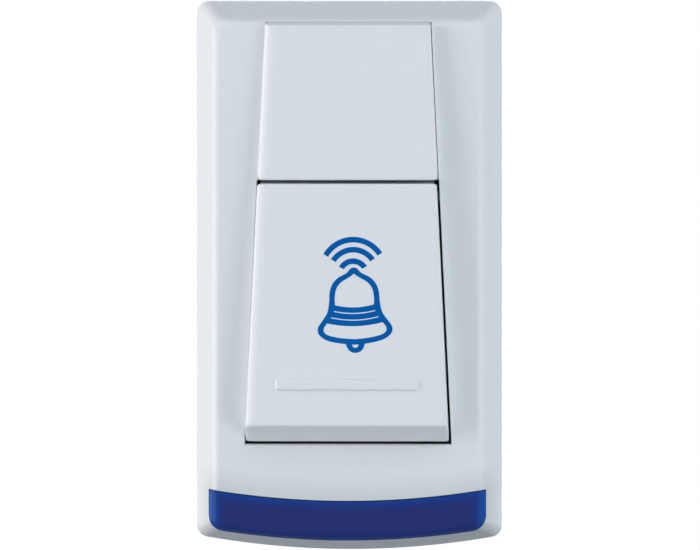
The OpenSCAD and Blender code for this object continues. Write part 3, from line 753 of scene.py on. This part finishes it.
# right halves of the outlines, from the top down
BELL = [(0, 4.98), (0.45, 4.84), (0.8, 4.47), (1.15, 4.12), (1.65, 3.86), (2.57, 3.34), (3.34, 2.43),
        (3.75, 1.21), (3.87, -0.3), (4.17, -1.82), (4.92, -3.03), (5.62, -4.05), (5.6, -5.0), (4.7, -5.88),
        (3.29, -6.37), (1.45, -6.68)]
CLAPPER = [BELL[-1], (1.32, -7.05), (1.06, -7.55), (0.6, -7.93), (0, -8.06)]
DOME = [(0, 4.03), (0.51, 3.64), (1.25, 3.2), (1.99, 2.73), (2.55, 2.1), (2.86, 1.35), (3.0, 0.3),
        (2.97, -0.72)]
RIM = [(4.25, -3.46), (4.72, -4.1), (4.8, -4.65), (4.4, -5.14), (3.45, -5.5), (2.0, -5.78), (0, -5.96)]
CURVE_STEPS = 8

# sagging edges, as half width, height in the middle and rise to the side
DOME_FOOT = (DOME[-1][0], -1.12, 0.4)
RIM_TOP = (4.2, -3.97, 0.5)
SLITS = [(3.15, -2.03, 0.37), (3.6, -3.06, 0.46)]
SLIT_W = 0.17
SAG_STEPS = 8

# gap over the clapper, as height and radius, and waves, as centre, both radii and half angle
CLAPPER_GAP = (-6.78, 0.5)
GAP_STEPS = 12
WAVES = [(-0.1, 4.35, 4.44, 5.29, 58.3), (-0.1, 4.1, 3.16, 4.0, 56.5), (-0.12, 3.88, 1.63, 2.48, 59)]
WAVE_STEPS = 32


def curve_through(points):
    """Smooth line through points (Catmull-Rom)."""
    padded = [points[0]] + points + [points[-1]]
    line = []
    for p0, p1, p2, p3 in zip(padded, padded[1:], padded[2:], padded[3:]):
        for i in range(CURVE_STEPS):
            t = i / CURVE_STEPS
            line.append(tuple(
                0.5 * (2 * b + (c - a) * t + (2 * a - 5 * b + 4 * c - d) * t * t
                       + (3 * b - a - 3 * c + d) * t ** 3)
                for a, b, c, d in zip(p0, p1, p2, p3)
            ))
    line.append(points[-1])
    return line


def both_sides(half):
    """Closed outline from its right half, which starts and ends on the axis."""
    return half + [(-x, y) for x, y in reversed(half[1:-1])]


def sagging(half, middle, rise):
    """Right half of a sagging line, from its middle out."""
    steps = [i / SAG_STEPS for i in range(SAG_STEPS + 1)]
    return [(half * t, middle + rise * t * t) for t in steps]


def slit(half, middle, rise):
    """Thin sagging gap between two bands."""
    right = sagging(half, middle, rise)
    line = [(-x, y) for x, y in reversed(right[1:])] + right
    return [(x, y + SLIT_W / 2) for x, y in line] + [(x, y - SLIT_W / 2) for x, y in reversed(line)]


def wave(x, y, r_in, r_out, spread):
    """Ring sector open downwards."""
    outer = arc(x, y, r_out, 90 - spread, 90 + spread, WAVE_STEPS)
    return outer + arc(x, y, r_in, 90 + spread, 90 - spread, WAVE_STEPS)


def build_print():
    """Generic bell with three sound waves, printed on the key face."""
    gap_y, gap_r = CLAPPER_GAP
    shapes = [
        both_sides(curve_through(BELL) + curve_through(CLAPPER)),
        both_sides(curve_through(DOME) + sagging(*DOME_FOOT)[-2::-1]),
        both_sides(sagging(*RIM_TOP) + curve_through(RIM)),
        arc(0, gap_y, gap_r, 180, 360, GAP_STEPS),
        *[slit(*sizes) for sizes in SLITS],
        *[wave(*sizes) for sizes in WAVES],
    ]
    sheet = bpy.data.curves.new("bell_print", "CURVE")
    sheet.dimensions = "2D"
    sheet.fill_mode = "BOTH"
    sheet.extrude = PRINT_T
    for shape in shapes:
        line = sheet.splines.new("POLY")
        line.points.add(len(shape) - 1)
        line.use_cyclic_u = True
        for point, (x, y) in zip(line.points, shape):
            point.co = (x, y, 0, 1)
    flat = bpy.data.objects.new("bell_print_flat", sheet)
    bpy.context.scene.collection.objects.link(flat)
    graph = bpy.context.evaluated_depsgraph_get()
    mesh = bpy.data.meshes.new_from_object(flat.evaluated_get(graph))
    bpy.data.objects.remove(flat)
    lean = math.radians(BELL_LEAN)
    for vertex in mesh.vertices:
        x, y, z = vertex.co
        px = BELL_X + x * math.cos(lean) - y * math.sin(lean)
        py = BELL_Y + x * math.sin(lean) + y * math.cos(lean)
        vertex.co = at(px, py, face_z(py) + PRINT_LIFT + z)
    shape = bmesh.new()
    shape.from_mesh(mesh)
    bmesh.ops.remove_doubles(shape, verts=shape.verts, dist=PRINT_WELD * MM)
    bmesh.ops.recalc_face_normals(shape, faces=shape.faces)
    shape.to_mesh(mesh)
    shape.free()
    obj = bpy.data.objects.new("bell_print", mesh)
    bpy.context.scene.collection.objects.link(obj)
    return obj


# ---- lens --------------------------------------------------------------------


def build_lens():
    """Light window that follows the case a little sunk, hollow behind."""
    lens = outer_form("light_window", LENS_SINK)
    combine(lens, [prism("outline", lens_outline(0), LENS_BACK_Z + LENS_SEAT, REACH)], "INTERSECT")
    hollow = inner_form("hollow", FRONT_Z - LENS_SINK - LENS_WALL)
    combine(hollow, [prism("rim", lens_outline(LENS_RIM), 0, REACH)], "INTERSECT")
    combine(lens, [hollow], "DIFFERENCE")
    return shade(lens)


# ---- wire parts --------------------------------------------------------------

TURN_STEPS = 32

# radius of the wire, of the first and the last turn, count of turns, and the bench axis along the winding
CELL_SPRING = {"wire_r": 0.25, "r0": 3.3, "r1": 2.0, "turns": 2.6, "axis": 0}
KEY_SPRING = {"wire_r": 0.24, "r0": 2.0, "r1": 2.0, "turns": 5.5, "axis": 2}


def helix(place, r0, r1, length, turns):
    """Points of a winding; place(along, u, v) sets them in the bench."""
    count = round(turns * TURN_STEPS)
    points = []
    for i in range(count + 1):
        a = math.tau * turns * i / count
        r = r0 + (r1 - r0) * i / count
        points.append(place(length * i / count, r * math.cos(a), r * math.sin(a)))
    return points


def wound(node, wire_r, r0, r1, turns, axis):
    """Round wire wound inside the box of a CAD winding, along bench axis 0 or 2."""
    low, high = bench_box(node)
    middle = (low + high) / 2
    start = low[axis] + wire_r
    length = high[axis] - low[axis] - 2 * wire_r
    if axis == 0:
        path = helix(lambda t, u, v: (start + t, middle.y + u, middle.z + v), r0, r1, length, turns)
    else:
        path = helix(lambda t, u, v: (middle.x - v, middle.y + u, start + t), r0, r1, length, turns)
    return tube(node + "_wire", path, wire_r)


# ---- materials ---------------------------------------------------------------

WHITE = (0.8, 0.832, 0.856)
WHITE_ROUGHNESS = 0.42
WHITE_VARY = 0.006
UNTINTED = (1, 1, 1)

# soft colour variation, uneven gloss and fine grain of every surface
CLOUD_SPAN = (0.3, 0.7)
CLOUD_DETAIL = 4.0
GLOSS_VARY = 0.1
GRAIN = 0.02
GRAIN_SCALE = 9000.0
GRAIN_DETAIL = 2.0
GRAIN_DEPTH = 0.05

# painted shade on the case beside, above and below the lens, up to a distance from it
NEAR_LENS = 4.0
SHADE_NEAR_LENS = 0.2
SIDE_MARGIN = 0.2

# painted shade on the key's lip in the gap below the key, from where it begins to where it is full, below the
# foot of the key
LIP_SHADE = (0.06, 0.065, 0.075)
LIP_SHADE_BEGINS = 0.02
LIP_SHADE_FULL = 0.06

# lens: blues from its middle to its edges, lighter at the edges as a painted glow, widths of these edges, and
# share of the long ones
LENS_BLUES = [(0.0, (0.0215, 0.034, 0.175)), (0.3, (0.018, 0.04, 0.22)), (0.6, (0.009, 0.06, 0.32)),
              (0.95, (0.003, 0.088, 0.375))]
GLOW_SIDE = 2.4
GLOW_TOP = 1.6
GLOW_LOW = 1.0
GLOW_LONG = 0.6

# board tracks, and tint of the bare laminate between them
TRACK_PATCH = 8.0
TRACK_PITCH = 1.9
TRACK_W = 0.5
BARE = (0.4, 0.47, 0.58)

# band on the cell sleeve, as shares of its length
BAND = (0.05, 0.06, 0.2)
BAND_L = 0.3
BAND_EDGE = 0.01


class Material:
    """Principled material with soft colour variation, uneven gloss and a fine surface grain."""

    def __init__(self, name, base, roughness, specular=0.5, metallic=0.0, vary=0.03, spots=400.0):
        self.material = bpy.data.materials.new(name)
        self.material.use_nodes = True
        self.tree = self.material.node_tree
        self.shader = self.tree.nodes["Principled BSDF"]
        self.shader.inputs["Metallic"].default_value = metallic
        self.shader.inputs["Specular IOR Level"].default_value = specular
        self.coords = self.tree.nodes.new("ShaderNodeTexCoord").outputs["Object"]
        cloud = self.noise(spots, CLOUD_DETAIL)
        shades = [[c * (1 - vary) for c in base], [c * (1 + vary) for c in base]]
        self.colour = self.ramp(cloud, list(zip(CLOUD_SPAN, shades)))
        self.link(self.colour, self.shader.inputs["Base Color"])
        gloss = self.tree.nodes.new("ShaderNodeMapRange")
        gloss.inputs["To Min"].default_value = roughness * (1 - GLOSS_VARY)
        gloss.inputs["To Max"].default_value = min(roughness * (1 + GLOSS_VARY), 1)
        self.link(cloud, gloss.inputs["Value"])
        self.link(gloss.outputs["Result"], self.shader.inputs["Roughness"])
        bump = self.tree.nodes.new("ShaderNodeBump")
        bump.inputs["Strength"].default_value = GRAIN
        bump.inputs["Distance"].default_value = GRAIN_DEPTH * MM
        self.link(self.noise(GRAIN_SCALE, GRAIN_DETAIL), bump.inputs["Height"])
        self.link(bump.outputs["Normal"], self.shader.inputs["Normal"])

    def link(self, output, socket):
        """Feeds a socket."""
        self.tree.links.new(output, socket)

    def noise(self, scale, detail):
        """Cloudy values from 0 to 1."""
        node = self.tree.nodes.new("ShaderNodeTexNoise")
        node.inputs["Scale"].default_value = scale
        node.inputs["Detail"].default_value = detail
        self.link(self.coords, node.inputs["Vector"])
        return node.outputs["Fac"]

    def ramp(self, factor, stops):
        """Colour at a factor between (position, colour) stops."""
        node = self.tree.nodes.new("ShaderNodeValToRGB")
        marks = node.color_ramp.elements
        while len(marks) < len(stops):
            marks.new(0.5)
        for mark, (position, colour) in zip(marks, stops):
            mark.position = position
            mark.color = (*[min(c, 1) for c in colour], 1)
        self.link(factor, node.inputs["Fac"])
        return node.outputs["Color"]

    def math(self, operation, *values):
        """Result of an operation on numbers and outputs."""
        node = self.tree.nodes.new("ShaderNodeMath")
        node.operation = operation
        for socket, value in zip(node.inputs, values):
            if isinstance(value, (int, float)):
                socket.default_value = value
            else:
                self.link(value, socket)
        return node.outputs[0]

    def axes(self):
        """X, Y and Z of a point in the frame, in metres."""
        node = self.tree.nodes.new("ShaderNodeSeparateXYZ")
        self.link(self.coords, node.inputs["Vector"])
        return node.outputs

    def share(self, value, low, high):
        """0 to 1 as a value goes from low to high, in millimetres."""
        node = self.tree.nodes.new("ShaderNodeMapRange")
        node.inputs["From Min"].default_value = low * MM
        node.inputs["From Max"].default_value = high * MM
        self.link(value, node.inputs["Value"])
        return node.outputs["Result"]

    def multiply(self, colour, other):
        """One colour tinted by another."""
        node = self.tree.nodes.new("ShaderNodeVectorMath")
        node.operation = "MULTIPLY"
        self.link(colour, node.inputs[0])
        self.link(other, node.inputs[1])
        return node.outputs["Vector"]

    def paint(self, obj):
        """Makes this the only material of an object."""
        obj.data.materials.clear()
        obj.data.materials.append(self.material)


def from_bow(material, edge_y):
    """Distance of a point below the bowed line through (0, edge_y), in metres, less than 0 above it."""
    axes = material.axes()
    down = material.math("SUBTRACT", axes["Z"], (BOW_R + edge_y) * MM)
    squares = [material.math("MULTIPLY", value, value) for value in (axes["X"], down)]
    reach = material.math("SQRT", material.math("ADD", *squares))
    return material.math("SUBTRACT", reach, BOW_R * MM)


def case_material():
    """White plastic with painted shade, darker beside and above the lens."""
    case = Material("case_plastic", WHITE, WHITE_ROUGHNESS, vary=WHITE_VARY)
    near = case.share(from_bow(case, LENS_TOP), -NEAR_LENS, 0)
    beside = case.share(case.math("ABSOLUTE", case.axes()["X"]), BODY_HALF - SIDE_MARGIN, LENS_HALF)
    # painted shade round the lens: the case colour darkens there
    shade_near_lens = case.ramp(case.math("MULTIPLY", near, beside), [(0, UNTINTED), (1, [1 - SHADE_NEAR_LENS] * 3)])
    case.link(case.multiply(case.colour, shade_near_lens), case.shader.inputs["Base Color"])
    return case


def key_material():
    """White plastic, painted dark on the lip that stands in the gap below the key, as shade in that gap."""
    key = Material("key_plastic", WHITE, WHITE_ROUGHNESS, vary=WHITE_VARY)
    # painted shade: the lip's colour darkens below the foot of the key
    above = key.share(key.axes()["Z"], KEY_FOOT - LIP_SHADE_FULL, KEY_FOOT - LIP_SHADE_BEGINS)
    lip_shade = key.ramp(above, [(0, LIP_SHADE), (1, UNTINTED)])
    key.link(key.multiply(key.colour, lip_shade), key.shader.inputs["Base Color"])
    return key


def lens_material():
    """Blue plastic over a dark hollow, painted lighter towards its edges as a glow."""
    lens = Material("blue_lens", LENS_BLUES[0][1], 0.25, specular=0.06, vary=0.03)
    across = lens.math("ABSOLUTE", lens.math("SUBTRACT", lens.axes()["X"], LENS_SHIFT * MM))
    side = lens.share(across, LENS_HALF - GLOW_SIDE, LENS_HALF)
    top = lens.share(from_bow(lens, LENS_TOP), GLOW_TOP, 0)
    low = lens.share(from_bow(lens, LENS_LOW), -GLOW_LOW, 0)
    # painted glow: the lens blue lightens towards its edges
    edge = lens.math("MAXIMUM", side, lens.math("MULTIPLY", lens.math("MAXIMUM", top, low), GLOW_LONG))
    lens.link(lens.ramp(edge, LENS_BLUES), lens.shader.inputs["Base Color"])
    return lens


def board_material():
    """Green laminate with patches of paler copper tracks, upright or level, under the lacquer."""
    board = Material("board_laminate", (0.03, 0.15, 0.06), 0.4, vary=0.1)
    patch = board.tree.nodes.new("ShaderNodeTexVoronoi")
    patch.distance = "CHEBYCHEV"
    patch.inputs["Scale"].default_value = 1 / (TRACK_PATCH * MM)
    board.link(board.coords, patch.inputs["Vector"])
    upright = board.math("GREATER_THAN", patch.outputs["Color"], 0.5)

    def tracks(axis):
        along = board.math("FRACT", board.math("DIVIDE", axis, TRACK_PITCH * MM))
        off_middle = board.math("ABSOLUTE", board.math("SUBTRACT", along, 0.5))
        return board.math("LESS_THAN", off_middle, TRACK_W / TRACK_PITCH / 2)

    level = board.math("MULTIPLY", board.math("SUBTRACT", 1, upright), tracks(board.axes()["Z"]))
    copper = board.math("ADD", board.math("MULTIPLY", upright, tracks(board.axes()["X"])), level)
    lacquer = board.ramp(copper, [(0, BARE), (1, UNTINTED)])
    board.link(board.multiply(board.colour, lacquer), board.shader.inputs["Base Color"])
    return board


def sleeve_material():
    """Plain shrink sleeve of a small cell: gold with a dark band at one end."""
    sleeve = Material("cell_sleeve", (0.55, 0.36, 0.08), 0.35, vary=0.05)
    low, high = bench_box("battery_sleeve")
    along = sleeve.share(sleeve.axes()["X"], low.x, high.x)
    band = sleeve.ramp(along, [(0, BAND), (BAND_L, BAND), (BAND_L + BAND_EDGE, UNTINTED), (1, UNTINTED)])
    sleeve.link(sleeve.multiply(sleeve.colour, band), sleeve.shader.inputs["Base Color"])
    return sleeve


case_white = case_material()
print_blue = Material("print_blue", (0.001, 0.115, 0.425), 0.6, specular=0.03, vary=0.05)
MATERIALS = {
    "white_plastic": Material("white_plastic", WHITE, WHITE_ROUGHNESS, vary=WHITE_VARY),
    "blue_lens": lens_material(),
    "plate_plastic": Material("plate_plastic", (0.72, 0.76, 0.79), 0.55, vary=0.015),
    "board_laminate": board_material(),
    "zinc_steel": Material("zinc_steel", (0.6, 0.6, 0.58), 0.35, metallic=1.0, vary=0.05),
    "tinned_steel": Material("tinned_steel", (0.7, 0.7, 0.68), 0.3, metallic=1.0, vary=0.05),
    "spring_steel": Material("spring_steel", (0.55, 0.55, 0.54), 0.28, metallic=1.0, vary=0.05),
    "black_plastic": Material("black_plastic", (0.015, 0.015, 0.016), 0.5, vary=0.1),
    "black_epoxy": Material("black_epoxy", (0.012, 0.012, 0.013), 0.6, vary=0.1),
    "led_epoxy": Material("led_epoxy", (0.35, 0.55, 0.75), 0.15, vary=0.03),
    "cell_sleeve": sleeve_material(),
    "copper_wire": Material("copper_wire", (0.72, 0.3, 0.12), 0.3, metallic=1.0, vary=0.08),
    "tan_ceramic": Material("tan_ceramic", (0.5, 0.34, 0.2), 0.6, vary=0.08),
    "solder_tin": Material("solder_tin", (0.66, 0.66, 0.66), 0.35, metallic=1.0, vary=0.08),
}

# ---- the part ----------------------------------------------------------------

SOFT_EDGES = {
    "wall_plate": 0.12,
    "switch_body": 0.06,
    "encoder_chip": 0.05,
    "transistor": 0.15,
    "resistors": 0.06,
    "capacitors": 0.08,
    "resonator_base": 0.05,
    "spring_tab": 0.05,
    "plus_contact": 0.05,
}
SOFT_SEGMENTS = 2
SOFT_ANGLE = 50.0
NODE_WELD = 0.001

for piece in frame["record"]["subparts"]:
    MATERIALS[piece["material_slot"]].paint(nodes[piece["node"]])

for name, width in SOFT_EDGES.items():
    weld = nodes[name].modifiers.new("weld", "WELD")
    weld.merge_threshold = NODE_WELD * MM
    bevel = nodes[name].modifiers.new("soft_edges", "BEVEL")
    bevel.width = width * MM
    bevel.segments = SOFT_SEGMENTS
    bevel.limit_method = "ANGLE"
    bevel.angle_limit = math.radians(SOFT_ANGLE)
    bevel.use_clamp_overlap = True
    bevel.harden_normals = True


def dress(obj, body, node, slot):
    """Puts a finished piece in the place of a CAD node."""
    MATERIALS[slot].paint(obj)
    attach(obj, body)
    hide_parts(node)
    return obj


case_white.paint(dress(build_cover(), "front_unit", "front_cover", "white_plastic"))
dress(build_panel(), "front_unit", "upper_panel", "white_plastic")
key_material().paint(dress(build_key(), "bell_key", "bell_key", "white_plastic"))
dress(build_lens(), "front_unit", "signal_lens", "blue_lens")
bell_print = build_print()
print_blue.paint(bell_print)
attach(bell_print, "bell_key")

dress(wound("battery_spring", **CELL_SPRING), "front_unit", "battery_spring", "spring_steel")
for name in ("return_spring_left", "return_spring_right"):
    spring = dress(wound(name, **KEY_SPRING), "front_unit", name, "spring_steel")
    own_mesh(spring)

# ---- stage, light and camera -------------------------------------------------

FLOOR_Z = -1.5
FLOOR_SIZE = 12
FLOOR_WHITE = (0.9, 0.9, 0.9)
FLOOR_GLOW = 0.97
FLOOR_MIRRORED = 0.08
bpy.ops.mesh.primitive_plane_add(size=FLOOR_SIZE, location=(0, 0, FLOOR_Z))
floor = bpy.context.object
floor.name = "floor"
floor_material = Material("floor", FLOOR_WHITE, 0.9, vary=0.01, spots=3.0)
floor_material.paint(floor)
floor.visible_diffuse = False


def shown_rays(tree, mirrored=1.0):
    """Share of the background that a ray shows: 1 from the camera, mirrored off gloss or through glass."""
    rays = tree.nodes.new("ShaderNodeLightPath")
    total = rays.outputs["Is Camera Ray"]
    for kind in ("Is Glossy Ray", "Is Transmission Ray"):
        share = tree.nodes.new("ShaderNodeMath")
        share.operation = "MULTIPLY_ADD"
        share.use_clamp = True
        share.inputs[1].default_value = mirrored
        tree.links.new(rays.outputs[kind], share.inputs[0])
        tree.links.new(total, share.inputs[2])
        total = share.outputs[0]
    return total


glow = floor_material.math("MULTIPLY", shown_rays(floor_material.tree, FLOOR_MIRRORED), FLOOR_GLOW)
floor_material.shader.inputs["Emission Color"].default_value = (*FLOOR_WHITE, 1)
floor_material.link(glow, floor_material.shader.inputs["Emission Strength"])

WARM = (0.975, 0.92, 0.895)
PLAIN = (0.895, 0.955, 0.965)
LAMP_DISTANCE = 1.5
LAMP_SIZE = 1.0
LOW_LAMP_H = 0.7

# azimuth and elevation in degrees, height in metres, power in watts, colour
SOFTBOXES = {
    "left_softbox": (-75, 0, LAMP_SIZE, 16.9, WARM),
    "left_high_softbox": (-55, 45, LAMP_SIZE, 4.0, PLAIN),
    "left_low_softbox": (-55, -22, LOW_LAMP_H, 4.3, PLAIN),
    "front_high_softbox": (0, 45, LAMP_SIZE, 3.3, PLAIN),
    "right_front_softbox": (35, 0, LAMP_SIZE, 3.0, WARM),
    "right_softbox": (66, 0, LAMP_SIZE, 3.7, PLAIN),
    "right_high_softbox": (55, 45, LAMP_SIZE, 5.1, PLAIN),
    "right_low_softbox": (55, -22, LOW_LAMP_H, 7.9, PLAIN),
    "back_softbox": (180, 10, LAMP_SIZE, 17.0, PLAIN),
}


def direction(azimuth, elevation):
    """Unit vector away from the part; azimuth 0 is in front, positive to the right, in degrees."""
    a, e = math.radians(azimuth), math.radians(elevation)
    return Vector((math.sin(a) * math.cos(e), -math.cos(a) * math.cos(e), math.sin(e)))


def softbox(name, azimuth, elevation, height, power, colour):
    """Area light aimed at the part."""
    light = bpy.data.lights.new(name, "AREA")
    light.shape = "RECTANGLE"
    light.size = LAMP_SIZE
    light.size_y = height
    light.energy = power
    light.color = colour
    obj = bpy.data.objects.new(name, light)
    bpy.context.scene.collection.objects.link(obj)
    obj.location = LAMP_DISTANCE * direction(azimuth, elevation)
    obj.rotation_euler = (-obj.location).to_track_quat("-Z", "Y").to_euler()
    obj.visible_camera = False


for name, settings in SOFTBOXES.items():
    softbox(name, *settings)

SEEN_WHITE = (1, 1, 1, 1)
FILL_BLUE = (0.4, 0.6, 1, 1)
FILL = 0.08
world = bpy.data.worlds.new("studio")
bpy.context.scene.world = world
world.use_nodes = True
tree = world.node_tree
tree.nodes.clear()
seen = tree.nodes.new("ShaderNodeBackground")
seen.inputs["Color"].default_value = SEEN_WHITE
fill = tree.nodes.new("ShaderNodeBackground")
fill.inputs["Color"].default_value = FILL_BLUE
fill.inputs["Strength"].default_value = FILL
mix = tree.nodes.new("ShaderNodeMixShader")
output = tree.nodes.new("ShaderNodeOutputWorld")
tree.links.new(shown_rays(tree), mix.inputs["Fac"])
tree.links.new(fill.outputs["Background"], mix.inputs[1])
tree.links.new(seen.outputs["Background"], mix.inputs[2])
tree.links.new(mix.outputs["Shader"], output.inputs["Surface"])
bpy.context.scene.view_settings.view_transform = "Standard"

IMAGE_W = 700
PX_PER_MM = 6.526
SENSOR_W = 36
CLIP_END = 50
CAMERA_AZIMUTH = 1.9
CAMERA_ELEVATION = 0.9
CAMERA_DISTANCE = 2.0
VIEW_X = 0.09
VIEW_Z = 8.0

camera_data = bpy.data.cameras.new("camera")
camera_data.sensor_width = SENSOR_W
camera_data.lens = SENSOR_W * CAMERA_DISTANCE / (IMAGE_W / PX_PER_MM * MM)
camera_data.clip_end = CLIP_END
camera = bpy.data.objects.new("camera", camera_data)
bpy.context.scene.collection.objects.link(camera)
towards = direction(CAMERA_AZIMUTH, CAMERA_ELEVATION)
camera.location = at(VIEW_X, 0, VIEW_Z) + CAMERA_DISTANCE * towards
camera.rotation_euler = (-towards).to_track_quat("-Z", "Y").to_euler()
bpy.context.scene.camera = camera
